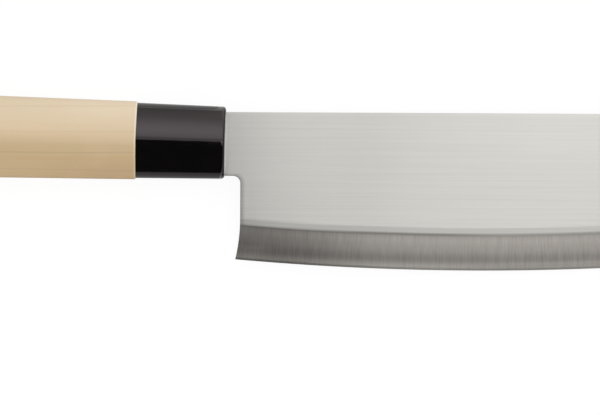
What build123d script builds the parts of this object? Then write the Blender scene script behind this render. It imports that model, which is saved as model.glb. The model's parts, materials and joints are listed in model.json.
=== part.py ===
from build123d import *
from collections import namedtuple
from math import asin, atan, cos, degrees, radians, sin, sqrt, tan
import os

# A Japanese vegetable knife with a right-handed D-shaped wooden handle, lying on its left side.
# The knife's own frame has its origin on the handle's axis at the ferrule's front,
# X forward along the spine, Y up to the spine and Z out of the right face.

# Blade, seen from its right face
blade_length = 165.0
belly_height = 49.0
belly_from_heel = 73.0
edge_radius = 865.0
blade_thickness = 1.8
front_bow = 1.2
front_upper_radius = 7.0
front_lower_radius = 4.0
spine_chamfer = 0.2

# Heel and neck, between the edge and the ferrule
heel_flare = 1.5
heel_flare_height = 13.0
neck_length = 4.8
neck_height = 19.9
neck_corner_radius = 2.3
spine_above_axis = 9.6

# Bevel, the same on both faces, measured across the blade from the edge
bevel_width = 10.8
bevel_bulge = 0.06
shoulder_width = 2.4
shoulder_drop = 0.09
edge_bevel_width = 0.6
edge_bevel_half_thickness = 0.14
edge_half_thickness = 0.03

# Tang, the hidden end of the blade
tang_length = 88.0
tang_root_height = 12.0
tang_end_height = 7.0
tang_end_thickness = 1.2
tang_end_radius = 2.0
tang_taper_setback = 0.6

# Handle's D shape across its axis at the ferrule's front, and its height further back
handle_tilt = 1.25
handle_length = 125.0
front_height = 22.5
front_left_depth = 8.3
front_right_depth = 9.5
joint_height = 23.5
butt_height = 26.9
crown_share = 0.57
ridge_share = 0.30
face_radius_share = 1.3

# Ferrule, a moulded sleeve closed at the front except for the neck's slot
ferrule_length = 27.6
ferrule_wall = 2.0
ferrule_front_wall = 3.0
ferrule_rim_radius = 1.0
slot_clearance = 0.1

# Wooden handle, with a tenon inside the ferrule
wood_step = 0.4
wood_front_chamfer = 0.35
butt_radius = 1.5
tenon_clearance = 0.1

# Resin that fills the mortise around the tang
resin_gap = 0.6
resin_end_depth = 3.0

# How far the cutting solids run past what they cut
overrun = 5.0

# Lean of the blade towards its edge, in degrees, when the knife lies balanced on its left side
lying_roll = 3.7

# The D shape's height and depths, and the radii of its crowns, ridge and bowed faces
Outline = namedtuple("Outline", "height left right crown ridge bow")
front_outline = Outline(
    height=front_height,
    left=front_left_depth,
    right=front_right_depth,
    crown=crown_share * front_left_depth,
    ridge=ridge_share * front_right_depth,
    bow=face_radius_share * front_height,
)

# Places in the knife's own frame that follow from the sizes above
tilt = radians(handle_tilt)
forward = Vector(cos(tilt), -sin(tilt))
upward = Vector(sin(tilt), cos(tilt))
half_thickness = blade_thickness / 2
spine_y = spine_above_axis
neck_y = spine_y - neck_height
belly_y = spine_y - belly_height
heel_x = neck_length - heel_flare
belly_x = heel_x + belly_from_heel
front_x = heel_x + blade_length - front_bow


def grown(outline, amount):
    """The outline moved out evenly by the amount, or in where it is negative."""
    height, *others = outline
    return Outline(height + 2 * amount, *(value + amount for value in others))


def d_face(outline, behind):
    """D-shaped face across the handle: six tangent arcs, with a soft ridge on the right."""
    crown, ridge, bow = outline.crown, outline.ridge, outline.bow
    reach = outline.height / 2 - crown
    # The left side's circle holds both crowns' circles inside its own
    back = (reach**2 + outline.left**2 - crown**2) / (2 * (outline.left - crown))
    crown_centre = Vector(reach, 0)
    ridge_centre = Vector(0, outline.right - ridge)
    back_centre = Vector(0, back - outline.left)

    # The bowed face holds the crown's circle and the ridge's circle inside its own
    between = ridge_centre - crown_centre
    along = ((bow - crown) ** 2 - (bow - ridge) ** 2 + between.length**2) / (2 * between.length)
    inward = Vector(-between.Y, between.X).normalized()
    face_centre = crown_centre + between.normalized() * along
    face_centre += inward * sqrt((bow - crown) ** 2 - along**2)

    back_end = back_centre + (crown_centre - back_centre).normalized() * back
    face_start = face_centre + (crown_centre - face_centre).normalized() * bow
    face_end = face_centre + (ridge_centre - face_centre).normalized() * bow
    face_middle = face_centre + (face_start + face_end - 2 * face_centre).normalized() * bow

    def below(point):
        return Vector(-point.X, point.Y)

    across = Plane(origin=(-behind, 0, 0), x_dir=(0, 1, 0), z_dir=(1, 0, 0))
    with BuildSketch(across) as sketch:
        with BuildLine():
            ThreePointArc(back_end, (outline.height / 2, 0), face_start)
            ThreePointArc(face_start, face_middle, face_end)
            ThreePointArc(face_end, (0, outline.right), below(face_end))
            ThreePointArc(below(face_end), below(face_middle), below(face_start))
            ThreePointArc(below(face_start), (-outline.height / 2, 0), below(back_end))
            ThreePointArc(below(back_end), (0, -outline.left), back_end)
        make_face()
    return sketch.sketch.face()


def d_solid(outline, front_behind, back_behind, growth=0.0):
    """D-shaped solid along the handle's axis, grown out evenly by its rear end."""
    length = back_behind - front_behind
    rear = d_face(grown(outline, growth), back_behind)
    return extrude(rear, amount=length, taper=degrees(atan(growth / length)))


def rim(solid, end):
    """Edges of a handle solid's front face, or of its rear face."""
    return solid.edges().group_by(Axis.X)[-1 if end == "front" else 0]


def tilted(solid):
    """Turn a solid made along the handle's own axis into the knife's frame."""
    return solid.rotate(Axis.Z, -handle_tilt)


def beside_axis(behind, above):
    """Point in the blade's plane, given along and across the handle's axis."""
    return upward * above - forward * behind


def edge_y(x):
    """Height of the cutting edge's arc at a place along the blade."""
    return belly_y + edge_radius - sqrt(edge_radius**2 - (x - belly_x) ** 2)


def shoulder(y):
    """Point at that height on the line where the neck steps down to the tang."""
    above = (y - ferrule_front_wall * sin(tilt)) / cos(tilt)
    return beside_axis(ferrule_front_wall, above)


def blade_face():
    """Side view of the whole steel piece, from the tang's end to the front."""
    spine_front = Vector(front_x, spine_y)
    edge_front = Vector(front_x, edge_y(front_x))
    heel = Vector(heel_x, edge_y(heel_x))
    flare_top = Vector(neck_length, heel.Y + heel_flare_height)
    neck_corner = Vector(neck_length, neck_y)
    tang_corners = [
        beside_axis(tang_length, tang_end_height / 2),
        beside_axis(tang_length, -tang_end_height / 2),
    ]
    with BuildSketch() as sketch:
        with BuildLine():
            Polyline(
                tang_corners[0],
                beside_axis(ferrule_front_wall, tang_root_height / 2),
                shoulder(spine_y),
                spine_front,
            )
            ThreePointArc(
                spine_front,
                (front_x + front_bow, (spine_front.Y + edge_front.Y) / 2),
                edge_front,
            )
            ThreePointArc(edge_front, (belly_x, belly_y), heel)
            TangentArc(flare_top, heel, tangent=(0, -1))
            Polyline(
                flare_top,
                neck_corner,
                shoulder(neck_y),
                beside_axis(ferrule_front_wall, -tang_root_height / 2),
                tang_corners[1],
                tang_corners[0],
            )
        make_face()
        for corner, radius in (
            (spine_front, front_upper_radius),
            (edge_front, front_lower_radius),
            (neck_corner, neck_corner_radius),
            (tang_corners[0], tang_end_radius),
            (tang_corners[1], tang_end_radius),
        ):
            fillet(sketch.vertices().sort_by_distance(corner)[0], radius)
    return sketch.sketch.face()


def bevel_cutter():
    """What grinding takes off the right face, swept about the centre of the edge's arc."""
    top_y = belly_y + bevel_width + shoulder_width
    crease = Vector(belly_y + bevel_width, half_thickness - shoulder_drop)
    edge_bevel = Vector(belly_y + edge_bevel_width, edge_bevel_half_thickness)
    rise = overrun * shoulder_drop / shoulder_width
    chord = crease - edge_bevel
    bulge = Vector(-chord.Y, chord.X).normalized() * bevel_bulge
    across = Plane(origin=(belly_x, 0, 0), x_dir=(0, 1, 0), z_dir=(1, 0, 0))
    with BuildSketch(across) as sketch:
        with BuildLine():
            Line((top_y + overrun, half_thickness + rise), crease)
            ThreePointArc(crease, (crease + edge_bevel) / 2 + bulge, edge_bevel)
            Polyline(
                edge_bevel,
                (belly_y, edge_half_thickness),
                (belly_y - overrun, edge_half_thickness),
                (belly_y - overrun, half_thickness + overrun),
                (top_y + overrun, half_thickness + overrun),
                (top_y + overrun, half_thickness + rise),
            )
        make_face()
    centre = Axis((belly_x, belly_y + edge_radius, 0), (0, 0, 1))
    back_turn = degrees(asin((belly_from_heel + overrun) / edge_radius))
    front_turn = degrees(asin((front_x - belly_x + front_bow + overrun) / edge_radius))
    start = sketch.sketch.face().rotate(centre, -back_turn)
    return Solid.revolve(start, back_turn + front_turn, centre)


def ferrule_front_x():
    """How far forward the tilted ferrule's front face comes beside the neck."""
    return spine_y * sin(tilt)


def tang_cutter():
    """Wedge that thins the right side of the tang evenly towards its end."""
    taper_x = ferrule_front_x() + tang_taper_setback
    end_x = -tang_length
    slope = (blade_thickness - tang_end_thickness) / 2 / (taper_x - end_x)
    past_x = end_x - overrun
    with BuildSketch(Plane.XZ) as sketch:
        with BuildLine():
            Polyline(
                (taper_x, half_thickness),
                (past_x, half_thickness - slope * (taper_x - past_x)),
                (past_x, half_thickness + overrun),
                (taper_x, half_thickness + overrun),
                close=True,
            )
        make_face()
    return extrude(sketch.sketch, amount=neck_height + overrun, both=True)


def make_blade():
    """Flat steel plate with its spine and ends broken, ground on both faces, with a thin tang."""
    plate = extrude(blade_face(), amount=half_thickness, both=True)
    bevel_top = belly_y + bevel_width + shoulder_width

    def is_broken(edge):
        middle = edge.center()
        return middle.X > -ferrule_front_wall / 2 and middle.Y > bevel_top

    flats = plate.faces().filter_by(Axis.Z)
    plate = chamfer(flats.edges().filter_by(is_broken), spine_chamfer)
    for cutter in (bevel_cutter(), tang_cutter()):
        plate -= cutter
        plate -= mirror(cutter, about=Plane.XY)
    return plate.solid()


def neck_slot():
    """Opening in the ferrule's front wall, all round the neck."""
    length = 2 * (ferrule_front_wall + overrun)
    height = neck_height + 2 * slot_clearance
    width = blade_thickness + 2 * slot_clearance
    return Pos(0, (spine_y + neck_y) / 2, 0) * Box(length, height, width)


def make_ferrule():
    """Moulded D-shaped sleeve with a rounded front rim, hollow behind its front wall."""
    growth = (joint_height - front_height) / 2
    shell = d_solid(front_outline, 0, ferrule_length, growth)
    shell = fillet(rim(shell, "front"), ferrule_rim_radius)
    hollow = grown(front_outline, -ferrule_wall)
    shell -= d_solid(hollow, ferrule_front_wall, ferrule_length + overrun)
    return (tilted(shell) - neck_slot()).solid()


def mortise():
    """Tapered pocket for the tang, with room for the resin all round it."""
    end = tang_length + resin_end_depth
    faces = []
    for behind, height, thickness in (
        (ferrule_front_wall, tang_root_height, blade_thickness),
        (end, tang_end_height, tang_end_thickness),
    ):
        across = Plane(origin=(-behind, 0, 0), x_dir=(0, 1, 0), z_dir=(1, 0, 0))
        faces.append(across * Rectangle(height + 2 * resin_gap, thickness + 2 * resin_gap))
    return loft(faces, ruled=True)


def make_handle():
    """Wooden handle that widens to its rounded butt, with a tenon and the tang's mortise."""
    step = (joint_height - front_height) / 2 + wood_step
    growth = (butt_height - front_height) / 2 - step
    wood = d_solid(grown(front_outline, step), ferrule_length, handle_length, growth)
    wood = chamfer(rim(wood, "front"), wood_front_chamfer)
    wood = fillet(rim(wood, "rear"), butt_radius)
    tenon = grown(front_outline, -ferrule_wall - tenon_clearance)
    wood += d_solid(tenon, ferrule_front_wall, ferrule_length + overrun)
    return tilted(wood - mortise()).solid()


def make_resin(blade):
    """Cured resin between the tang and the wood."""
    return (tilted(mortise()) - blade).solid()


def lying_down():
    """Turn that lays the knife on its left side.

    The floor is a plane that leans by the roll about the knife's length, and by as much about
    its height as lets the ferrule's front rim and the blade's front end both touch it.
    """
    roll_slope = tan(radians(lying_roll))
    touch_y = edge_y(front_x) + bevel_width
    touch_z = shoulder_drop - half_thickness
    pitch_slope = (front_left_depth + touch_z + roll_slope * touch_y) / front_x
    normal = Vector(-pitch_slope, roll_slope, 1).normalized()
    ahead = Vector(1, 0, 0) - normal * normal.X
    return Plane(origin=(0, 0, 0), x_dir=ahead, z_dir=normal).location.inverse()


blade = make_blade()
pieces = {
    "blade": blade,
    "ferrule": make_ferrule(),
    "handle": make_handle(),
    "tang_adhesive": make_resin(blade),
}

turn = lying_down()
pieces = {name: turn * solid for name, solid in pieces.items()}
box = Compound(list(pieces.values())).bounding_box()
place = Pos(-box.center().X, -box.center().Y, -box.min.Z)

os.makedirs("parts", exist_ok=True)
for name, solid in pieces.items():
    export_step(place * solid, f"parts/{name}.step")
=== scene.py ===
import json
from math import atan2, cos, pi, radians, sin, sqrt, tan

import bmesh
import bpy
import numpy as np
from mathutils import Matrix


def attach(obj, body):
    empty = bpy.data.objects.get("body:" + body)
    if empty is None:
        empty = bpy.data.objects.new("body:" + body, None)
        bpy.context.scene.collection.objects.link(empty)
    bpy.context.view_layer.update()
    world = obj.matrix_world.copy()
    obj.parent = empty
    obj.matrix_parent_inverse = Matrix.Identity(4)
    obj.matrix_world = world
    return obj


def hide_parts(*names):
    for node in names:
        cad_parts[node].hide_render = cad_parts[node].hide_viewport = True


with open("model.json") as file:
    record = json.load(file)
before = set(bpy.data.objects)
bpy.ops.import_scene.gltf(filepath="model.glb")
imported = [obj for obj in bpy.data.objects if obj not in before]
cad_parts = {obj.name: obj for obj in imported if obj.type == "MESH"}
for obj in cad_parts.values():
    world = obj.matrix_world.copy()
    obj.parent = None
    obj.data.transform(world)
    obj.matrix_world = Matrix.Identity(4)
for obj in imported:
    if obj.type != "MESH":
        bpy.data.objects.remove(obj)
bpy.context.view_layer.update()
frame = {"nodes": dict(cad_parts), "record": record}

# Lengths are millimetres in the knife's own frame, and places become metres in in_row().
# Its origin is on the handle's axis at the ferrule's front, with X forward along the spine,
# Y up to the spine and Z out of the right face.
mm = 0.001

# Blade
blade_length = 165.0
belly_height = 49.0
belly_from_heel = 73.0
edge_radius = 865.0
half_thickness = 0.9
front_bow = 1.2
front_upper_radius = 7.0
front_lower_radius = 4.0
spine_chamfer = 0.2
heel_flare = 1.5
heel_flare_height = 13.0
neck_length = 4.8
neck_height = 19.9
neck_corner_radius = 2.3
spine_y = 9.6

# Bevel, by distance from the cutting edge
bevel_width = 10.8
bevel_bulge = 0.06
shoulder_width = 2.4
shoulder_drop = 0.09
edge_bevel_width = 0.6
edge_bevel_half = 0.14
edge_half = 0.03

# Tang
tang_length = 88.0
tang_root_height = 12.0
tang_end_height = 7.0
tang_end_half = 0.6
tang_end_radius = 2.0
tang_taper_start = 0.81

# Handle and ferrule
handle_tilt = radians(1.25)
handle_length = 125.0
front_height = 22.5
left_depth = 8.3
right_depth = 9.5
joint_height = 23.5
butt_height = 26.9
crown_radius = 0.57 * left_depth
ridge_radius = 0.30 * right_depth
bow_radius = 1.3 * front_height
ferrule_length = 27.6
ferrule_wall = 2.0
front_wall = 3.0
ferrule_rim = 1.0
slot_clearance = 0.1
wood_step = 0.4
wood_chamfer = 0.35
butt_radius = 1.5
tenon_clearance = 0.1
resin_gap = 0.6
resin_end_depth = 3.0

# The grids: gaps between rows beside a crease and behind the rim, the gap that sewing closes,
# and the steps round each arc
crease_gap = 0.15
rim_row_gap = 0.1
sewing_gap = 0.002
arc_steps = 400
crown_steps, face_steps, ridge_steps, back_steps = 22, 14, 26, 34

# The mount on the right face is this far below the spine, level with the belly's place
mount_below_spine = 17.9

# The rim's chamfer ends this far ahead of the step down to the tang
chamfer_stop = 0.5

# Places that follow from the sizes above
neck_y = spine_y - neck_height
belly_y = spine_y - belly_height
heel_x = neck_length - heel_flare
belly_x = heel_x + belly_from_heel
front_x = heel_x + blade_length - front_bow
edge_centre = np.array([belly_x, belly_y + edge_radius])
shoulder_top = bevel_width + shoulder_width
body_start = shoulder_top + crease_gap
joint_offset = (joint_height - front_height) / 2
butt_offset = (butt_height - front_height) / 2


def knife_frame():
    """The knife's origin and axes in the row frame, read from the mount on the right face."""
    mounts = {mount["name"]: mount for mount in frame["record"]["mounts"]}
    out = np.array(mounts["right_flat"]["axis"])
    ahead = np.array([out[2], 0.0, -out[0]])
    ahead /= np.linalg.norm(ahead)
    axes = np.array([ahead, np.cross(out, ahead), out])
    on_face = np.array([belly_x, spine_y - mount_below_spine, half_thickness])
    return np.array(mounts["right_flat"]["pos_m"]) - on_face @ axes * mm, axes


origin, axes = knife_frame()


def in_row(points):
    """Knife points in millimetres as row-frame points in metres."""
    return origin + np.asarray(points, float) @ axes * mm


def in_knife(points):
    """Row-frame points in metres as knife points in millimetres."""
    return (np.asarray(points, float) - origin) @ axes.T / mm


def along_handle(behind, y, z):
    """Knife points from a distance behind the ferrule's front and places across the handle."""
    x = y * sin(handle_tilt) - behind * cos(handle_tilt)
    up = y * cos(handle_tilt) + behind * sin(handle_tilt)
    return np.stack(np.broadcast_arrays(x, up, z), axis=-1)


def turn_of(start, end):
    """Angle of the way from one point to another."""
    return atan2(end[1] - start[1], end[0] - start[0])


def grid_faces(rows, columns, first=0, closed=False):
    """Quads between neighbours in a grid of points counted row by row."""
    index = first + np.arange(rows * columns).reshape(rows, columns)
    if closed:
        index = np.column_stack([index, index[:, 0]])
    corners = index[:-1, :-1], index[:-1, 1:], index[1:, 1:], index[1:, :-1]
    return np.stack(corners, axis=-1).reshape(-1, 4)


def sewn_piece(name, patches, coordinates, crease, closed=False):
    """Mesh sewn from grids of points, with its own coordinates kept as attributes."""
    faces, first = [], 0
    for patch in patches:
        faces.append(grid_faces(*patch.shape[:2], first, closed))
        first += patch.shape[0] * patch.shape[1]
    points = in_row(np.concatenate([patch.reshape(-1, 3) for patch in patches]))
    mesh = bpy.data.meshes.new(name)
    mesh.from_pydata(points, [], np.concatenate(faces))

    skin = bmesh.new()
    skin.from_mesh(mesh)
    bmesh.ops.remove_doubles(skin, verts=skin.verts, dist=sewing_gap * mm)
    bmesh.ops.recalc_face_normals(skin, faces=skin.faces)
    skin.to_mesh(mesh)
    skin.free()

    places = np.empty(len(mesh.vertices) * 3)
    mesh.vertices.foreach_get("co", places)
    for label, placed in coordinates.items():
        own = mesh.attributes.new(label, "FLOAT_VECTOR", "POINT")
        own.data.foreach_set("vector", placed(in_knife(places.reshape(-1, 3))).ravel())
    mesh.shade_smooth()
    mesh.set_sharp_from_angle(angle=radians(crease))
    piece = bpy.data.objects.new(name, mesh)
    bpy.context.collection.objects.link(piece)
    return piece


def dress(piece, node, material):
    """Give a piece its body, the CAD node that it stands for and its material."""
    piece.data.materials.append(material)
    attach(piece, "root")
    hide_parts(node)


# The D shape across the handle

def d_rings(offsets, behinds):
    """Rings round the handle, one for each offset from the front outline.

    The outline is six tangent arcs. A point is its arc's centre plus the arc's radius and
    the ring's offset along the outward normal, so every ring keeps the same centres.
    """
    reach = front_height / 2 - crown_radius
    back = (reach**2 + left_depth**2 - crown_radius**2) / (2 * (left_depth - crown_radius))
    crown = np.array([reach, 0.0])
    ridge = np.array([0.0, right_depth - ridge_radius])
    between = ridge - crown
    length = np.hypot(*between)
    step = (bow_radius - crown_radius) ** 2 - (bow_radius - ridge_radius) ** 2
    step = (step + length**2) / (2 * length)
    inward = np.array([-between[1], between[0]]) / length
    face = crown + between / length * step
    face = face + inward * sqrt((bow_radius - crown_radius) ** 2 - step**2)

    low = turn_of((0.0, back - left_depth), crown)
    rise = turn_of(face, crown)
    top = turn_of(face, ridge)
    flip = np.array([-1.0, 1.0])
    arcs = (
        (crown, crown_radius, low, rise, crown_steps),
        (face, bow_radius, rise, top, face_steps),
        (ridge, ridge_radius, top, pi - top, ridge_steps),
        (face * flip, bow_radius, pi - top, pi - rise, face_steps),
        (crown * flip, crown_radius, pi - rise, pi - low, crown_steps),
        (np.array([0.0, back - left_depth]), back, pi - low, 2 * pi + low, back_steps),
    )
    turns = [np.linspace(start, end, count, endpoint=False) for _, _, start, end, count in arcs]
    centres = np.concatenate([np.tile(arc[0], (arc[4], 1)) for arc in arcs])
    radii = np.concatenate([np.full(arc[4], arc[1]) for arc in arcs])
    turns = np.concatenate(turns)
    offsets = np.asarray(offsets, float)[:, None]
    y = centres[:, 0] + (radii + offsets) * np.cos(turns)
    z = centres[:, 1] + (radii + offsets) * np.sin(turns)
    return along_handle(np.asarray(behinds, float)[:, None], y, z)


def pinched(ring, share):
    """The ring drawn in towards its middle, down to a point at a share of nothing."""
    middle = ring.mean(axis=0)
    return middle + (ring - middle) * share


def squared(ring, behind, centre_y, half_height, half_width):
    """The nearest points on an upright rectangle to the points of a ring.

    Each point's two places across the handle are held within the rectangle's half sizes.
    """
    y = np.clip(ring[:, 1], centre_y - half_height, centre_y + half_height)
    z = np.clip(ring[:, 2], -half_width, half_width)
    x = np.full_like(y, -behind)
    return np.stack([x, y, z], axis=-1)


def round_over(radius, count):
    """Setback and inset along a quarter round, from the side to the end face."""
    turn = np.linspace(0.0, pi / 2, count)
    return radius * (1 - np.sin(turn)), radius * (1 - np.cos(turn))


def handle_place(points):
    """Distances along the handle's own axis, up and out, which the wood's grain follows."""
    x, y, z = points.T
    behind = y * sin(handle_tilt) - x * cos(handle_tilt)
    up = y * cos(handle_tilt) + x * sin(handle_tilt)
    return np.stack([behind, up, z], axis=-1)


def ferrule_surface():
    """Sleeve's skin: out from the neck's slot, over the rim, back, in, forward and up the slot."""
    setback, inset = round_over(ferrule_rim, 7)
    side = np.linspace(ferrule_rim, ferrule_length, 12)
    side[0] += rim_row_gap
    behinds = np.concatenate([setback[::-1], side])
    swell = np.maximum(behinds, ferrule_rim) / ferrule_length * joint_offset
    outside = d_rings(swell - np.concatenate([inset[::-1], np.zeros_like(side)]), behinds)
    inner = np.linspace(ferrule_length, front_wall, 6)
    inside = d_rings(np.full(inner.shape, -ferrule_wall), inner)
    slot = squared(outside[0], 0.0, (spine_y + neck_y) / 2, neck_height / 2 + slot_clearance,
                   half_thickness + slot_clearance)
    slot = np.stack([slot, slot])
    slot[0, :, 0] = slot[0, :, 1] * tan(handle_tilt)
    slot[1, :, 0] = inside[-1, :, 0]
    return np.concatenate([slot[:1], outside, inside, slot[::-1]])


def handle_surface():
    """Wood's skin, from the mortise's end round the tenon, the joint, the side and the butt."""
    mortise_end = tang_length + resin_end_depth
    step = joint_offset + wood_step
    tenon = -ferrule_wall - tenon_clearance
    swell = (butt_offset - step) / (handle_length - ferrule_length)
    setback, inset = round_over(butt_radius, 8)
    side = np.linspace(ferrule_length + wood_chamfer, handle_length - butt_radius, 30)
    behinds = np.concatenate([
        [front_wall, ferrule_length, ferrule_length], side, handle_length - setback[1:]
    ])
    offsets = np.concatenate([
        [tenon, tenon, step - wood_chamfer],
        step + swell * (side - ferrule_length),
        butt_offset - inset[1:],
    ])
    outside = d_rings(offsets, behinds)
    butt = [pinched(outside[-1], share) for share in (0.75, 0.5, 0.25, 0.0)]
    mouth, bottom = [
        along_handle(behind, *squared(d_rings([0.0], [0.0])[0], 0.0, 0.0, high, wide).T[1:])
        for behind, high, wide in (
            (front_wall, tang_root_height / 2 + resin_gap, half_thickness + resin_gap),
            (mortise_end, tang_end_height / 2 + resin_gap, tang_end_half + resin_gap),
        )
    ]
    return np.concatenate([[pinched(bottom, 0.0), bottom, mouth], outside, butt])


# The blade

def from_edge(points):
    """Distance from the cutting edge's arc, across the blade."""
    return edge_radius - np.hypot(points[..., 0] - belly_x, points[..., 1] - edge_centre[1])


def ground_half(distance):
    """Half the blade's thickness at a distance from the edge.

    Straight over the edge bevel, a shallow hump over the wide bevel, straight up the
    shoulder, and then flat.
    """
    crease_half = half_thickness - shoulder_drop
    corners = [0.0, edge_bevel_width, bevel_width, shoulder_top]
    halves = [edge_half, edge_bevel_half, crease_half, half_thickness]
    straight = np.interp(distance, corners, halves)
    across = (distance - edge_bevel_width) / (bevel_width - edge_bevel_width)
    return straight + 4 * bevel_bulge * np.clip(across * (1 - across), 0.0, None)


def rim_cut(distance):
    """Width of the rim's chamfer, which ends where grinding has already gone lower."""
    return np.clip(ground_half(distance) - half_thickness + spine_chamfer, 0.0, None)


def edge_height(x):
    """Height of the cutting edge's arc at a place along the blade."""
    return edge_centre[1] - np.sqrt(edge_radius**2 - (x - belly_x) ** 2)


def arc_points(centre, radius, start, end):
    """Points on an arc and their outward normals, reversed where the radius is below nothing."""
    turn = np.linspace(start, end, arc_steps)
    way = np.stack([np.cos(turn), np.sin(turn)], axis=-1)
    return np.asarray(centre) + abs(radius) * way, way * np.sign(radius)


def heel_outline():
    """Heel's flared back, the straight above it, the round into the neck, and a line up it."""
    heel_y = edge_height(heel_x)
    flare_y = heel_y + heel_flare_height
    flare_radius = (heel_flare_height**2 + heel_flare**2) / (2 * heel_flare)
    low = -2 * atan2(heel_flare, heel_flare_height)
    flare = arc_points((neck_length - flare_radius, flare_y), -flare_radius, low, 0.0)
    round_y = neck_y - neck_corner_radius
    round_x = neck_length - neck_corner_radius
    corner = arc_points((round_x, round_y), -neck_corner_radius, 0.0, pi / 2)
    return np.concatenate([flare[0], corner[0]]), np.concatenate([flare[1], corner[1]])


def front_outline():
    """Blade's front end: the round off the edge, the bowed end and the round on to the spine."""
    low_y = edge_height(front_x)
    half = (spine_y - low_y) / 2
    bow = (half**2 + front_bow**2) / (2 * front_bow)
    bow_centre = np.array([front_x + front_bow - bow, (spine_y + low_y) / 2])
    upper_y = spine_y - front_upper_radius
    reach = sqrt((bow - front_upper_radius) ** 2 - (upper_y - bow_centre[1]) ** 2)
    upper = np.array([bow_centre[0] + reach, upper_y])

    # The lower round touches the edge's arc and the bowed end from inside
    far = edge_radius - front_lower_radius
    near = bow - front_lower_radius
    between = edge_centre - bow_centre
    gap = np.hypot(*between)
    along = (near**2 - far**2 + gap**2) / (2 * gap)
    side = np.array([between[1], -between[0]]) / gap
    lower = bow_centre + between / gap * along + side * sqrt(near**2 - along**2)

    off_edge = turn_of(edge_centre, lower)
    off_bow = turn_of(bow_centre, lower)
    on_bow = turn_of(bow_centre, upper)
    arcs = [
        arc_points(lower, front_lower_radius, off_edge, off_bow),
        arc_points(bow_centre, bow, off_bow, on_bow),
        arc_points(upper, front_upper_radius, on_bow, pi / 2),
    ]
    return np.concatenate([arc[0] for arc in arcs]), np.concatenate([arc[1] for arc in arcs])


def row_height(level, x):
    """Height of a row of the blade's grid, by its level and the place along the blade.

    Up to the shoulder's top a row is an arc about the edge's centre. Above it, rows divide
    the height left up to the spine's chamfer evenly at every place.
    """
    reach = edge_radius - np.minimum(level, body_start)
    arc = edge_centre[1] - np.sqrt(reach**2 - (x - belly_x) ** 2)
    share = np.clip(level - body_start, 0.0, None)
    return arc + share * (spine_y - spine_chamfer - arc)


def level_of(points):
    """The level of the row that passes through a point."""
    distance = from_edge(points)
    start = row_height(body_start, points[..., 0])
    share = (points[..., 1] - start) / (spine_y - spine_chamfer - start)
    return np.where(distance < body_start, distance, body_start + np.clip(share, 0.0, None))


def ends_at(levels, outline):
    """Where rows of those levels end on an outline drawn in by its chamfer, with the normals."""
    points, normals = outline
    inset = points - normals * rim_cut(from_edge(points))[:, None]
    known = level_of(inset)
    order = np.argsort(known)
    columns = np.column_stack([inset, normals])[order].T
    found = np.stack([np.interp(levels, known[order], column) for column in columns], axis=-1)
    normals = found[:, 2:] / np.hypot(found[:, 2], found[:, 3])[:, None]
    return found[:, :2], normals


def round_levels(outline, first, step):
    """Levels of every so many points of an outline's last arc, drawn in by the chamfer."""
    points, normals = outline
    return level_of(points[first::step] - normals[first::step] * spine_chamfer)


def blade_levels(heel, front):
    """Levels of the rows, close together at the creases and along the rounded corners."""
    beside_crease = np.array([-crease_gap, 0.0, crease_gap])
    ground = np.concatenate([
        [0.0, 0.3, 0.5, edge_bevel_width, 0.7, 1.2],
        np.linspace(2.0, bevel_width - 0.6, 12),
        bevel_width + beside_crease,
        [bevel_width + shoulder_width / 2],
        shoulder_top + beside_crease,
    ])
    neck_round = round_levels(heel, arc_steps, 38)
    neck_level = level_of(np.array([neck_length - neck_corner_radius, neck_y + spine_chamfer]))
    top_round = round_levels(front, 2 * arc_steps, 30)
    low_rows = np.linspace(body_start, neck_round.min(), 8)[1:-1]
    high_rows = np.linspace(neck_level, top_round.min(), 12)[1:-1]
    levels = np.concatenate([
        ground, low_rows, neck_round, [neck_level], high_rows, top_round, [body_start + 1]
    ])
    levels = np.unique(np.round(levels, 6))
    return levels, int(np.argmin(abs(levels - neck_level)))


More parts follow.
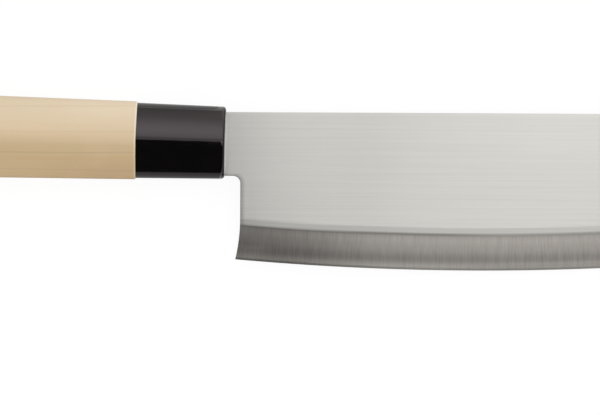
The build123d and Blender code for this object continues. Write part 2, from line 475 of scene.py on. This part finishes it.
def blade_surface():
    """Both faces of the blade with its neck and tang, its chamfered rim and its edge."""
    heel, front = heel_outline(), front_outline()
    levels, neck_row = blade_levels(heel, front)
    left, left_normals = ends_at(levels, heel)
    left[neck_row:, 0] = neck_length - neck_corner_radius
    left[neck_row:, 1] = row_height(levels[neck_row:], left[neck_row:, 0])
    right, right_normals = ends_at(levels, front)
    share = np.linspace(0.0, 1.0, 121)
    x = left[:, :1] + (right[:, :1] - left[:, :1]) * share
    y = row_height(levels[:, None], x)
    y[:, 0], y[:, -1] = left[:, 1], right[:, 1]
    body = np.stack([x, y], axis=-1)

    # Neck and tang, whose rows keep their shares of the height
    rows_up = y[neck_row:, 0]
    middle = (rows_up[0] + rows_up[-1]) / 2
    part = (rows_up - middle) / (rows_up[-1] - middle)
    neck_x = np.linspace(left[-1, 0], -front_wall, 7)[1:]
    neck = np.stack(np.broadcast_arrays(neck_x, rows_up[:, None]), axis=-1)
    end_turn = np.linspace(0.0, pi / 2, 6)
    behind = np.concatenate([
        np.linspace(front_wall, tang_length - tang_end_radius, 8)[:-1],
        tang_length - tang_end_radius + tang_end_radius * np.sin(end_turn),
    ])
    high = np.interp(behind, [front_wall, tang_length], [tang_root_height, tang_end_height]) / 2
    high[-len(end_turn):] += tang_end_radius * (np.cos(end_turn) - 1)
    tang = along_handle(behind, part[:, None] * high, 0.0)[..., :2]
    back = np.concatenate([body[neck_row:, :1], neck, tang], axis=1)[:, ::-1]

    # Once round the rim, from the heel up, back along the neck, round the tang and forward
    rim = np.concatenate([
        body[:neck_row, 0], back[0, ::-1], back[1:, 0], back[-1, 1:], body[-1, 1:],
        body[-2::-1, -1],
    ])
    down, up, backward = np.array([[0.0, -1.0], [0.0, 1.0], [-1.0, 0.0]])
    normals = np.concatenate([
        left_normals[:neck_row],
        np.tile(down, (back.shape[1], 1)),
        np.tile(backward, (back.shape[0] - 2, 1)),
        np.tile(up, (back.shape[1] + body.shape[1] - 1, 1)),
        right_normals[-2::-1],
    ])
    width = rim_cut(from_edge(rim)) * (rim[:, 0] > chamfer_stop - front_wall)
    outer = rim + normals * width[:, None]

    def with_half(points, at_rim=False):
        taper = (half_thickness - tang_end_half) / (tang_length + tang_taper_start)
        half = ground_half(from_edge(points))
        if at_rim:
            half = half - width
        half = half - taper * np.clip(tang_taper_start - points[..., 0], 0.0, None)
        return np.concatenate([points, half[..., None]], axis=-1)

    def mirrored(patch):
        return patch * np.array([1.0, 1.0, -1.0])

    outer = with_half(rim, at_rim=True)
    outer[:, :2] += normals * width[:, None]
    face = [with_half(body), with_half(back), np.stack([with_half(rim), outer])]
    edge = with_half(body[0])
    return face + [mirrored(patch) for patch in face] + [
        np.stack([outer, mirrored(outer)]), np.stack([edge, mirrored(edge)])
    ]


def edge_place(points):
    """Distances along the cutting edge from the belly, in from it, and in from the heel's back.

    The heel's back line goes on round the corner and along the neck, so the distance from
    it is measured from the corner's centre and lessened by the corner's radius. It counts
    double along the neck.
    """
    x, y, _ = points.T
    along = np.arctan2(x - belly_x, edge_centre[1] - y) * edge_radius
    down = np.clip(edge_height(heel_x) + heel_flare_height - y, 0.0, None)
    back = neck_length - heel_flare * (down / heel_flare_height) ** 2
    from_back = np.hypot(
        np.clip(x - back + neck_corner_radius, 0.0, None),
        np.clip(y - neck_y + neck_corner_radius, 0.0, None),
    )
    beside_neck = np.clip((neck_length - x) / neck_corner_radius, 0.0, 1.0)
    from_back = (from_back - neck_corner_radius) * (1 + beside_neck)
    return np.stack([along, from_edge(points), from_back], axis=-1)


# Materials

def socket(tree, value, target):
    """Set a node's input to a plain value, or link it where the value is a socket."""
    if isinstance(value, bpy.types.NodeSocket):
        tree.links.new(value, target)
    else:
        target.default_value = value


def add_node(tree, kind, inputs=None, **settings):
    """A node with its settings and inputs; inputs are named or counted."""
    made = tree.nodes.new(kind)
    for name, value in settings.items():
        setattr(made, name, value)
    for name, value in (inputs or {}).items():
        socket(tree, value, made.inputs[name])
    return made


def maths(tree, operation, *values):
    """Result of a Math node on one or two values, or of a chain of them on more."""
    inputs = dict(enumerate(values[:2]))
    result = add_node(tree, "ShaderNodeMath", inputs, operation=operation).outputs[0]
    return maths(tree, operation, result, *values[2:]) if len(values) > 2 else result


def fade(tree, value, low, high, start=0.0, end=1.0):
    """Smooth change from start to end as the value goes from low to high."""
    made = add_node(
        tree, "ShaderNodeMapRange",
        {"Value": value, "From Min": low, "From Max": high, "To Min": start, "To Max": end},
        interpolation_type="SMOOTHSTEP",
    )
    return made.outputs["Result"]


def blend(tree, factor, first, second, how="MIX"):
    """Two colours mixed by a mask."""
    made = add_node(tree, "ShaderNodeMix", data_type="RGBA", blend_type=how)
    socket(tree, factor, made.inputs[0])
    socket(tree, first, made.inputs[6])
    socket(tree, second, made.inputs[7])
    return made.outputs[2]


def ramp(tree, value, stops):
    """Colour ramp with grey or coloured stops by place."""
    made = add_node(tree, "ShaderNodeValToRGB", {"Fac": value})
    band = made.color_ramp
    while len(band.elements) < len(stops):
        band.elements.new(1.0)
    for element, (place, colour) in zip(band.elements, stops):
        element.position = place
        element.color = (*colour, 1.0) if isinstance(colour, tuple) else (colour,) * 3 + (1.0,)
    return made.outputs["Color"]


def start_group(name, inputs, output):
    """A node group that takes a place and some named numbers and gives one number."""
    group = bpy.data.node_groups.new(name, "ShaderNodeTree")
    face = group.interface
    face.new_socket("Place", in_out="INPUT", socket_type="NodeSocketVector")
    for label, value in inputs.items():
        made = face.new_socket(label, in_out="INPUT", socket_type="NodeSocketFloat")
        made.default_value = value
    face.new_socket(output, in_out="OUTPUT", socket_type="NodeSocketFloat")
    inside = group.nodes.new("NodeGroupInput").outputs
    return group, inside, group.nodes.new("NodeGroupOutput").inputs[output]


def noise(tree, place, seed, detail, roughness):
    """Noise at a place, with a seed as its fourth dimension."""
    inputs = {"Vector": place, "W": seed, "Scale": 1.0, "Detail": detail, "Roughness": roughness}
    return add_node(tree, "ShaderNodeTexNoise", inputs, noise_dimensions="4D").outputs[0]


def line_noise_group():
    """Noise drawn out along one way, for hairlines, grinding lines and wood fibres."""
    numbers = {"Line length": 20.0, "Line width": 0.3, "Seed": 0.0}
    group, inside, outside = start_group("Drawn lines", numbers, "Lines")
    split = add_node(group, "ShaderNodeSeparateXYZ", {0: inside["Place"]}).outputs
    shares = {
        index: maths(group, "DIVIDE", split[index], inside[size])
        for index, size in enumerate(("Line length", "Line width", "Line width"))
    }
    place = add_node(group, "ShaderNodeCombineXYZ", shares).outputs[0]
    group.links.new(noise(group, place, inside["Seed"], 3.0, 0.65), outside)
    return group


def cloud_group():
    """Soft uneven patches, for handling marks, dust film and the wood's paler areas."""
    numbers = {"Patch size": 10.0, "Seed": 0.0}
    group, inside, outside = start_group("Soft patches", numbers, "Patches")
    scale = maths(group, "DIVIDE", 1.0, inside["Patch size"])
    place = add_node(
        group, "ShaderNodeVectorMath", {0: inside["Place"], "Scale": scale}, operation="SCALE"
    ).outputs[0]
    group.links.new(noise(group, place, inside["Seed"], 2.0, 0.5), outside)
    return group


drawn_lines = line_noise_group()
soft_patches = cloud_group()


def lines(tree, place, length, width, seed=0.0):
    """Values of drawn lines at a place."""
    inputs = {"Place": place, "Line length": length, "Line width": width, "Seed": seed}
    return add_node(tree, "ShaderNodeGroup", inputs, node_tree=drawn_lines).outputs[0]


def patches(tree, place, size, seed=0.0):
    """Values of soft patches at a place."""
    inputs = {"Place": place, "Patch size": size, "Seed": seed}
    return add_node(tree, "ShaderNodeGroup", inputs, node_tree=soft_patches).outputs[0]


def new_material(name):
    """An empty material with its node tree and its shader."""
    material = bpy.data.materials.new(name)
    material.use_nodes = True
    return material, material.node_tree, material.node_tree.nodes["Principled BSDF"]


def place_of(tree, label="own_place"):
    """One of a piece's own sets of coordinates, in millimetres, whole and split in three."""
    place = add_node(tree, "ShaderNodeAttribute", attribute_name=label).outputs["Vector"]
    return place, add_node(tree, "ShaderNodeSeparateXYZ", {0: place}).outputs


def tinted(tree, tone, tint):
    """A grey tone turned into a colour by a fixed tint."""
    grey = add_node(tree, "ShaderNodeCombineXYZ", {0: tone, 1: tone, 2: tone}).outputs[0]
    return blend(tree, 1.0, grey, (*tint, 1.0), "MULTIPLY")


def chosen(tree, mask, first, second):
    """The first value where the mask is nothing, and the second where it is one."""
    made = add_node(tree, "ShaderNodeMix", data_type="FLOAT")
    for index, value in ((0, mask), (2, first), (3, second)):
        socket(tree, value, made.inputs[index])
    return made.outputs[0]


def bump(tree, height, depth, strength=1.0):
    """Normal from a height map; the depth is in millimetres."""
    made = add_node(
        tree, "ShaderNodeBump",
        {"Strength": strength, "Distance": depth * mm, "Height": height},
    )
    return made.outputs[0]


def blade_steel():
    """Ground steel: lengthwise hairlines on the flat and fine lines across the wide bevel.

    Places along the edge count from the belly, -73 at the heel and 88 at the front end.
    """
    material, tree, shader = new_material("Ground blade steel")
    place, (x, y, _) = place_of(tree)
    _, (along, across, from_back) = place_of(tree, "edge_place")
    swapped = add_node(tree, "ShaderNodeCombineXYZ", {0: across, 1: along, 2: 0.0}).outputs[0]
    on_bevel = fade(tree, across, bevel_width + 0.1, bevel_width - 0.15)

    hairline = lines(tree, place, 60.0, 0.22)
    brushing = lines(tree, place, 110.0, 1.0, 3.0)
    grinding = lines(tree, swapped, 7.0, 0.45, 5.0)
    banding = lines(tree, swapped, 30.0, 2.6, 7.0)
    cloud = patches(tree, place, 30.0)

    # The shoulder's step comes lower towards the heel, under a painted highlight line
    lower = fade(tree, along, -58.0, -22.0, 0.6, 0.0)
    stepped = maths(tree, "ADD", across, lower)
    paler = maths(
        tree, "MULTIPLY",
        fade(tree, across, shoulder_top + 0.9, shoulder_top),
        fade(tree, stepped, shoulder_top - 0.2, shoulder_top + 0.2),
        maths(tree, "MULTIPLY", lower, 0.06),
    )

    # The flat, with painted light and shade: painted shade beside the ferrule, on the shoulder
    # and along the heel's back, and painted light near the ferrule, along the spine and towards
    # the upper front
    tone = maths(
        tree, "ADD",
        fade(tree, hairline, 0.25, 0.75, -0.025, 0.025),
        fade(tree, brushing, 0.25, 0.75, -0.02, 0.02),
        fade(tree, cloud, 0.3, 0.7, 0.788, 0.798),
    )
    painted_light_to_front = maths(tree, "MULTIPLY", fade(tree, x, 60.0, 115.0, 0.0, 0.065),
                     fade(tree, y, -20.0, 5.0, 0.3, 1.0))
    tone = maths(
        tree, "MULTIPLY", tone,
        maths(tree, "ADD", painted_light_to_front, fade(tree, x, 10.0, 50.0, 1.2, 1.0)),
        fade(tree, x, 0.0, 1.6, 0.88, 1.0),
        fade(tree, y, spine_y - 1.7, spine_y - 0.2, 1.0, 1.03),
        fade(tree, from_back, -0.4, 1.9, 0.56, 1.0),
        fade(tree, stepped, shoulder_top + 0.2, shoulder_top - 0.2, 1.0, 0.89),
        maths(tree, "ADD", paler, 1.0),
    )
    flat = tinted(tree, tone, (1.0, 0.99, 0.936))

    # The wide bevel, by its share from the edge up to the crease. Its ramp is painted reflection:
    # a bright strip near the edge and darker bands higher up. It has painted shade towards the
    # heel, a painted highlight low by the heel and painted shade near the edge towards the front
    share = maths(tree, "DIVIDE", across, bevel_width)
    base = ramp(tree, share, (
        (0.0, 0.66), (0.06, 0.68), (0.093, 0.74), (0.153, 0.64), (0.213, 0.51), (0.27, 0.435),
        (0.324, 0.415), (0.407, 0.435), (0.5, 0.49), (0.583, 0.52), (0.667, 0.528),
        (0.76, 0.554), (0.843, 0.57), (0.94, 0.52), (1.0, 0.42),
    ))
    heel_painted_light = maths(tree, "MULTIPLY", fade(tree, along, -58.0, -69.0, 0.0, 0.1),
                    fade(tree, across, 5.5, 4.0))
    front_edge_painted_shade = maths(tree, "MULTIPLY", fade(tree, along, -20.0, 20.0, 0.0, -0.14),
                       fade(tree, across, 2.2, 1.2))
    tone = maths(
        tree, "ADD",
        fade(tree, grinding, 0.25, 0.75, -0.055, 0.055),
        fade(tree, banding, 0.25, 0.75, -0.02, 0.02),
        maths(tree, "MULTIPLY", base, fade(tree, along, -60.0, -25.0, 0.74, 1.0)),
        heel_painted_light,
        front_edge_painted_shade,
    )
    ground = tinted(tree, tone, (1.0, 0.945, 0.875))

    # Painted shade in the crease between them
    creased = maths(tree, "ADD", across, maths(tree, "MULTIPLY", lower, 0.5))
    crease = maths(
        tree, "MULTIPLY",
        fade(tree, creased, bevel_width - 0.45, bevel_width + 0.2),
        fade(tree, creased, bevel_width + 1.05, bevel_width + 0.2),
        fade(tree, along, -60.0, -25.0, 0.6, 0.95),
        fade(tree, along, -10.0, 12.0, 1.0, 0.72),
    )
    colour = blend(tree, on_bevel, flat, ground)
    colour = blend(tree, crease, colour, (0.29, 0.272, 0.245, 1.0))
    tree.links.new(colour, shader.inputs["Base Color"])

    rough = fade(tree, hairline, 0.2, 0.8, 0.28, 0.3)
    rough_ground = fade(tree, grinding, 0.2, 0.8, 0.27, 0.33)
    tree.links.new(chosen(tree, on_bevel, rough, rough_ground), shader.inputs["Roughness"])
    height = chosen(tree, on_bevel, maths(tree, "MULTIPLY", hairline, 0.04), grinding)
    tree.links.new(bump(tree, height, 0.0006), shader.inputs["Normal"])
    shader.inputs["Metallic"].default_value = 1.0
    return material


def ferrule_plastic():
    """Black moulded plastic with a film of dust and faint rubbing along its length."""
    material, tree, shader = new_material("Black ferrule plastic")
    place, (behind, _, _) = place_of(tree)
    rubbing = lines(tree, place, 14.0, 0.5, 11.0)
    film = patches(tree, place, 7.0, 13.0)
    dust = maths(tree, "MULTIPLY", fade(tree, film, 0.35, 0.75), fade(tree, rubbing, 0.4, 0.8))
    colour = blend(tree, dust, (0.0022, 0.002, 0.0022, 1.0), (0.0055, 0.005, 0.005, 1.0))
    tree.links.new(colour, shader.inputs["Base Color"])
    tree.links.new(fade(tree, film, 0.3, 0.7, 0.05, 0.11), shader.inputs["Roughness"])
    tree.links.new(fade(tree, behind, 0.3, 1.1), shader.inputs["Coat Weight"])
    tree.links.new(fade(tree, behind, 0.1, 0.9, 0.2, 0.8), shader.inputs["Specular IOR Level"])
    tree.links.new(bump(tree, film, 0.012, 0.5), shader.inputs["Normal"])
    shader.inputs["IOR"].default_value = 1.5
    shader.inputs["Specular Tint"].default_value = (1.0, 0.8, 0.83, 1.0)
    shader.inputs["Coat Roughness"].default_value = 0.06
    return material


def handle_wood():
    """Pale straight-grained wood: fibres along the handle, and a few fine darker rings."""
    material, tree, shader = new_material("Pale handle wood")
    place, (behind, up, _) = place_of(tree)
    turned = add_node(
        tree, "ShaderNodeMapping", {"Vector": place, "Rotation": (0.0, 0.0, radians(0.9))}
    ).outputs[0]
    fibre = lines(tree, turned, 26.0, 0.3, 17.0)
    streak = lines(tree, turned, 90.0, 1.8, 19.0)
    sway = lines(tree, turned, 60.0, 14.0, 23.0)
    cloud = patches(tree, place, 9.0, 29.0)

    # Rings about a pith far below the handle, as distances from it
    pith_y, pith_z = -60.0, -10.0
    ring_spacing, ring_start = 6.35, 2.69
    _, ring_y, ring_z = add_node(tree, "ShaderNodeSeparateXYZ", {0: turned}).outputs
    ring_y = maths(tree, "SUBTRACT", ring_y, pith_y)
    ring_z = maths(tree, "SUBTRACT", ring_z, pith_z)
    reach = maths(tree, "SQRT", maths(
        tree, "ADD",
        maths(tree, "MULTIPLY", ring_y, ring_y),
        maths(tree, "MULTIPLY", ring_z, ring_z),
    ))
    swayed = maths(tree, "ADD", reach, fade(tree, sway, 0.2, 0.8, -0.3, 0.3))
    phase = maths(tree, "DIVIDE", maths(tree, "SUBTRACT", swayed, ring_start), ring_spacing)
    phase = maths(tree, "FRACT", phase)
    late = maths(
        tree, "MULTIPLY",
        fade(tree, phase, 0.88, 0.955),
        fade(tree, phase, 1.0, 0.965),
        fade(tree, reach, 60.5, 64.0, 0.42, 0.14),
    )

    # Painted sheen: paler towards the top and deeper towards the bottom, as lit from above
    base = blend(
        tree, fade(tree, up, -7.5, 11.0), (0.575, 0.408, 0.212, 1.0), (0.705, 0.57, 0.385, 1.0)
    )
    # Towards the ferrule, painted light along the top and painted shade along the bottom
    painted_light_by_ferrule = fade(tree, behind, 68.0, 34.0)
    top = maths(tree, "MULTIPLY", painted_light_by_ferrule, fade(tree, up, 3.0, 11.0, 0.0, 0.4))
    base = blend(tree, top, base, (0.83, 0.70, 0.53, 1.0))
    bottom = maths(tree, "MULTIPLY", painted_light_by_ferrule, fade(tree, up, -5.0, -10.0, 0.0, 0.35))
    base = blend(tree, bottom, base, (0.445, 0.27, 0.132, 1.0))
    paler = fade(tree, streak, 0.25, 0.75, 0.0, 0.12)
    base = blend(tree, paler, base, (0.80, 0.66, 0.50, 1.0))
    base = blend(tree, fade(tree, cloud, 0.45, 0.8, 0.0, 0.2), base, (0.72, 0.50, 0.32, 1.0))
    fibred = blend(tree, fade(tree, fibre, 0.25, 0.8, 0.0, 0.07), base, (0.45, 0.32, 0.19, 1.0))
    ringed = blend(tree, late, fibred, (0.44, 0.31, 0.18, 1.0))
    # Painted highlight on the wood's chamfer at the joint, brighter towards the top
    chamfer_end = ferrule_length + wood_chamfer
    chamfer_highlight = maths(tree, "MULTIPLY", fade(tree, behind, chamfer_end + 0.15, chamfer_end),
                  fade(tree, up, -8.0, 9.0, 0.35, 0.85))
    chamfer_highlight = blend(tree, chamfer_highlight, ringed, (0.93, 0.86, 0.72, 1.0))

    # End grain: darker than the sides, with open pores and stronger rings
    pores = patches(tree, place, 0.35, 37.0)
    end_grain = blend(tree, fade(tree, pores, 0.35, 0.75, 0.0, 0.5), (0.52, 0.37, 0.2, 1.0),
                      (0.36, 0.24, 0.12, 1.0))
    end_ring = maths(
        tree, "MULTIPLY", fade(tree, phase, 0.6, 0.96), fade(tree, phase, 1.0, 0.97), 0.45
    )
    end_grain = blend(tree, end_ring, end_grain, (0.33, 0.21, 0.11, 1.0))
    at_butt = fade(tree, behind, handle_length - 0.6, handle_length - 0.15)
    colour = blend(tree, at_butt, chamfer_highlight, end_grain)
    tree.links.new(colour, shader.inputs["Base Color"])
    tree.links.new(fade(tree, fibre, 0.2, 0.8, 0.38, 0.5), shader.inputs["Roughness"])
    tree.links.new(bump(tree, fibre, 0.012, 0.5), shader.inputs["Normal"])
    shader.inputs["Specular IOR Level"].default_value = 0.7
    return material


def tang_resin():
    """Cured amber resin with faint clouding, hidden round the tang."""
    material, tree, shader = new_material("Amber tang resin")
    place = add_node(tree, "ShaderNodeTexCoord").outputs["Object"]
    cloud = patches(tree, place, 0.004, 31.0)
    colour = blend(tree, cloud, (0.42, 0.31, 0.16, 1.0), (0.56, 0.44, 0.25, 1.0))
    tree.links.new(colour, shader.inputs["Base Color"])
    tree.links.new(fade(tree, cloud, 0.3, 0.7, 0.3, 0.45), shader.inputs["Roughness"])
    return material


# The pieces

blade = sewn_piece(
    "blade_steel_piece", blade_surface(),
    {"own_place": np.array, "edge_place": edge_place}, crease=25,
)
dress(blade, "blade", blade_steel())

ferrule = sewn_piece(
    "ferrule_sleeve", [ferrule_surface()], {"own_place": handle_place}, crease=35, closed=True
)
dress(ferrule, "ferrule", ferrule_plastic())

handle = sewn_piece(
    "handle_wood_piece", [handle_surface()], {"own_place": handle_place}, crease=35, closed=True
)
dress(handle, "handle", handle_wood())

resin = frame["nodes"]["tang_adhesive"]
resin.data.materials.clear()
resin.data.materials.append(tang_resin())


# The studio

white = (1.0, 1.0, 1.0, 1.0)


def stage_sheet(name, points, material):
    """A floor or card for the studio, made from a grid of knife points."""
    mesh = bpy.data.meshes.new(name)
    mesh.from_pydata(in_row(points.reshape(-1, 3)), [], grid_faces(*points.shape[:2]))
    sheet = bpy.data.objects.new(name, mesh)
    bpy.context.collection.objects.link(sheet)
    mesh.materials.append(material)
    return sheet


def bare_material(name):
    """A material with nothing but its output node."""
    material = bpy.data.materials.new(name)
    material.use_nodes = True
    tree = material.node_tree
    tree.nodes.clear()
    return material, tree, tree.nodes.new("ShaderNodeOutputMaterial")


def emission(name):
    """A material with only an Emission shader."""
    material, tree, out = bare_material(name)
    shader = tree.nodes.new("ShaderNodeEmission")
    tree.links.new(shader.outputs[0], out.inputs[0])
    return material, tree, shader


# Cards round the knife: their size, the angles where they meet and where the line between
# them moves from the ferrule's place to the blade's
card_radius = 700.0
card_half_length = 1400.0
card_edge_at_ferrule = 6.0
card_edge_at_blade = -12.5
card_edge_start = 18.0
card_edge_end = 30.0
card_end = 92.0
card_x = np.unique(np.concatenate([
    np.linspace(-card_half_length, card_half_length, 9),
    np.linspace(card_edge_start, card_edge_end, 13),
]))


def card_edge():
    """Angle of the line where the bright card meets the dark one, for each place along them.

    The angle is counted from straight out of the blade's face, up towards the spine's side.
    """
    share = np.clip((card_x - card_edge_start) / (card_edge_end - card_edge_start), 0.0, 1.0)
    share = share * share * (3 - 2 * share)
    return card_edge_at_ferrule + (card_edge_at_blade - card_edge_at_ferrule) * share


def card_sheet(start, end, rows=30):
    """Sheet that curves round the knife between two angles, given for each place along it."""
    share = np.linspace(0.0, 1.0, rows)[:, None]
    turn = np.radians(start + (end - start) * share)
    x = np.broadcast_to(card_x, turn.shape)
    return np.stack([x, np.sin(turn) * card_radius, np.cos(turn) * card_radius], axis=-1)


def add_card(name, points, material):
    """Card that shows only in reflections, with its places along and round the knife kept."""
    card = stage_sheet(name, points, material)
    turn = np.degrees(np.arctan2(points[..., 1], points[..., 2]))
    place = np.stack([points[..., 0], turn, np.zeros_like(turn)], axis=-1)
    own = card.data.attributes.new("card_place", "FLOAT_VECTOR", "POINT")
    own.data.foreach_set("vector", place.ravel())
    card.visible_camera = False
    card.visible_diffuse = False
    card.visible_shadow = False
    card.visible_transmission = False
    return card


def bright_card_light():
    """Bright card: a broad band for the ferrule, and an even light straight over the blade."""
    material, tree, shader = emission("Bright card")
    _, (x, turn, _) = place_of(tree, "card_place")
    share = maths(tree, "DIVIDE", maths(tree, "ADD", turn, 10.0), 110.0)
    band = ramp(tree, share, (
        (0.0, 0.36), (0.09, 0.38), (0.318, 0.45), (0.464, 0.6), (0.527, 0.75), (0.564, 0.84),
        (0.605, 0.9), (0.659, 0.83), (0.727, 0.64), (0.782, 0.48), (0.845, 0.4), (0.891, 0.34),
        (0.93, 0.33),
    ))
    over_blade = maths(tree, "MULTIPLY", fade(tree, x, card_edge_start, card_edge_end),
                       fade(tree, turn, 24.0, 12.0))
    even = fade(tree, x, card_edge_end, 120.0, 1.85, 0.86)
    above_spine = maths(tree, "MULTIPLY", fade(tree, x, 0.0, 60.0), fade(tree, turn, 70.0, 84.0))
    colour = blend(tree, above_spine, blend(tree, over_blade, band, even), (0.7, 0.7, 0.7, 1.0))
    tree.links.new(colour, shader.inputs["Color"])
    far = maths(tree, "MULTIPLY", fade(tree, x, 250.0, 450.0, 1.0, 1.3),
                fade(tree, x, 1050.0, 850.0, 0.35, 1.0))
    tree.links.new(far, shader.inputs["Strength"])
    return material


def dark_card_light():
    """Dark card under the handle's side, dimmer straight below the blade and far ahead."""
    material, tree, shader = emission("Dark card")
    _, (x, turn, _) = place_of(tree, "card_place")
    by_blade = maths(
        tree, "MULTIPLY",
        fade(tree, turn, -14.0, -19.0),
        fade(tree, turn, -42.0, -36.0),
        fade(tree, x, 0.0, 60.0),
    )
    lit = maths(tree, "MAXIMUM", by_blade, fade(tree, x, 540.0, 640.0))
    tree.links.new(chosen(tree, lit, 0.01, 0.5), shader.inputs["Strength"])
    return material


def floor_shade_light():
    """Grey sheet of painted floor shade by the handle, seen only in reflections, a little paler on
    the spine's side.
    """
    material, tree, shader = emission("Painted floor shade")
    _, (_, turn, _) = place_of(tree, "card_place")
    tree.links.new(fade(tree, turn, -10.0, 10.0, 0.28, 0.48), shader.inputs["Strength"])
    return material


def plain_light(name, strength):
    """A card's material with an even strength."""
    material, _, shader = emission(name)
    shader.inputs["Strength"].default_value = strength
    return material


def strips(x, y, z):
    """Grid of points from the places of its corners along two ways."""
    return np.stack(np.broadcast_arrays(np.asarray(x, float), y, z), axis=-1)


add_card("bright_card", card_sheet(card_edge(), card_end), bright_card_light())
add_card("dark_card", card_sheet(card_edge() - 0.1, -90.0), dark_card_light())
end_points = strips(-card_half_length, [[-card_radius], [card_radius]], [[-50.0, card_radius]])
add_card("end_card", end_points, plain_light("End card", 0.3))

# The sheet of painted floor shade lies just over the floor, which slopes in the knife's frame
shade_sheet_height = 0.5
shade_sheet_rear, shade_sheet_front, shade_sheet_fold = -500.0, -2.0, 12.0
shade_sheet = strips(
    [[shade_sheet_rear, shade_sheet_front]], [[-card_radius], [-shade_sheet_fold], [shade_sheet_fold], [card_radius]], 0.0
)
shade_sheet[..., 2] = (shade_sheet_height - in_row(shade_sheet)[..., 2] / mm) / axes[2, 2]
add_card("floor_shade_sheet", shade_sheet, floor_shade_light())


def floor_material():
    """White floor that keeps the knife's soft shadow and turns plain white further off."""
    material, tree, out = bare_material("White floor")
    place = add_node(tree, "ShaderNodeTexCoord").outputs["Object"]
    away = add_node(tree, "ShaderNodeVectorMath", {0: place}, operation="LENGTH").outputs["Value"]
    near = fade(tree, away, 0.7, 0.25)
    seen = add_node(tree, "ShaderNodeLightPath").outputs["Is Camera Ray"]
    pale = add_node(tree, "ShaderNodeBsdfDiffuse", {"Color": (0.8, 0.8, 0.8, 1.0)})
    thin = add_node(tree, "ShaderNodeBsdfDiffuse", {"Color": (0.11, 0.11, 0.11, 1.0)})
    glow = add_node(tree, "ShaderNodeEmission", {"Color": white, "Strength": 0.91})
    plain = add_node(tree, "ShaderNodeEmission", {"Color": white, "Strength": 1.0})
    shaded = add_node(tree, "ShaderNodeAddShader", {0: thin.outputs[0], 1: glow.outputs[0]})
    shown = add_node(
        tree, "ShaderNodeMixShader", {0: near, 1: plain.outputs[0], 2: shaded.outputs[0]}
    )
    both = add_node(
        tree, "ShaderNodeMixShader", {0: seen, 1: pale.outputs[0], 2: shown.outputs[0]}
    )
    tree.links.new(both.outputs[0], out.inputs[0])
    return material


# The floor, in metres, is just under the surface that the knife lies on
floor_size = 8.0
floor_height = -0.00005
floor_mesh = bpy.data.meshes.new("floor")
corners = np.array([[-1, -1], [1, -1], [1, 1], [-1, 1]]) * floor_size
floor_points = np.column_stack([corners, np.full(4, floor_height)])
floor_mesh.from_pydata(floor_points, [], [[0, 1, 2, 3]])
floor = bpy.data.objects.new("floor", floor_mesh)
bpy.context.collection.objects.link(floor)
floor_mesh.materials.append(floor_material())

world = bpy.data.worlds.new("Plain white studio")
bpy.context.scene.world = world
world.use_nodes = True
sky = world.node_tree
sky.nodes.clear()
sky_out = sky.nodes.new("ShaderNodeOutputWorld")
ambient = add_node(sky, "ShaderNodeBackground", {"Color": white, "Strength": 1.02})
backdrop = add_node(sky, "ShaderNodeBackground", {"Color": white, "Strength": 1.0})
ray = add_node(sky, "ShaderNodeLightPath").outputs
kinds = [ray[kind] for kind in ("Is Camera Ray", "Is Glossy Ray", "Is Transmission Ray")]
looked_at = maths(sky, "MAXIMUM", *kinds)
sky_mix = add_node(
    sky, "ShaderNodeMixShader", {0: looked_at, 1: ambient.outputs[0], 2: backdrop.outputs[0]}
)
sky.links.new(sky_mix.outputs[0], sky_out.inputs[0])


def turn_towards(way, up):
    """Rotation that points an object's -Z along a way in the row frame, with its Y towards up."""
    back = -np.asarray(way) / np.linalg.norm(way)
    side = np.cross(up, back)
    side /= np.linalg.norm(side)
    rows = np.array([side, np.cross(back, side), back])
    return Matrix(rows.T.tolist()).to_euler()


def soft_light(name, place, size, power):
    """Large soft lamp at a knife point, turned to the heel and seen only by matt surfaces."""
    lamp = bpy.data.lights.new(name, "AREA")
    lamp.shape = "RECTANGLE"
    lamp.size, lamp.size_y = size
    lamp.energy = power
    made = bpy.data.objects.new(name, lamp)
    bpy.context.collection.objects.link(made)
    target = in_row([20.0, -10.0, 0.0])
    made.location = in_row(place)
    made.rotation_euler = turn_towards(target - in_row(place), axes[0])
    made.visible_camera = False
    made.visible_glossy = False
    return made


soft_light("soft_lamp", (60.0, 1300.0, 480.0), (1.6, 1.0), 1.5)

# The camera looks straight at the right face from far off, so that the knife is barely
# foreshortened. Its distance and the view's width are metres.
sensor_width = 36.0
camera_distance = 1.2
view_width = 0.187
view_centre = (23.42, -20.05, 0.0)
spine_slope = radians(0.32)
camera_data = bpy.data.cameras.new("camera")
camera_data.sensor_width = sensor_width
camera_data.lens = sensor_width * camera_distance / view_width
camera_data.clip_start = 0.05
camera = bpy.data.objects.new("camera", camera_data)
bpy.context.collection.objects.link(camera)
camera.location = in_row(view_centre) + axes[2] * camera_distance
image_up = axes[1] * cos(spine_slope) - axes[0] * sin(spine_slope)
camera.rotation_euler = turn_towards(-axes[2], image_up)
scene = bpy.context.scene
scene.camera = camera
scene.view_settings.view_transform = "Standard"
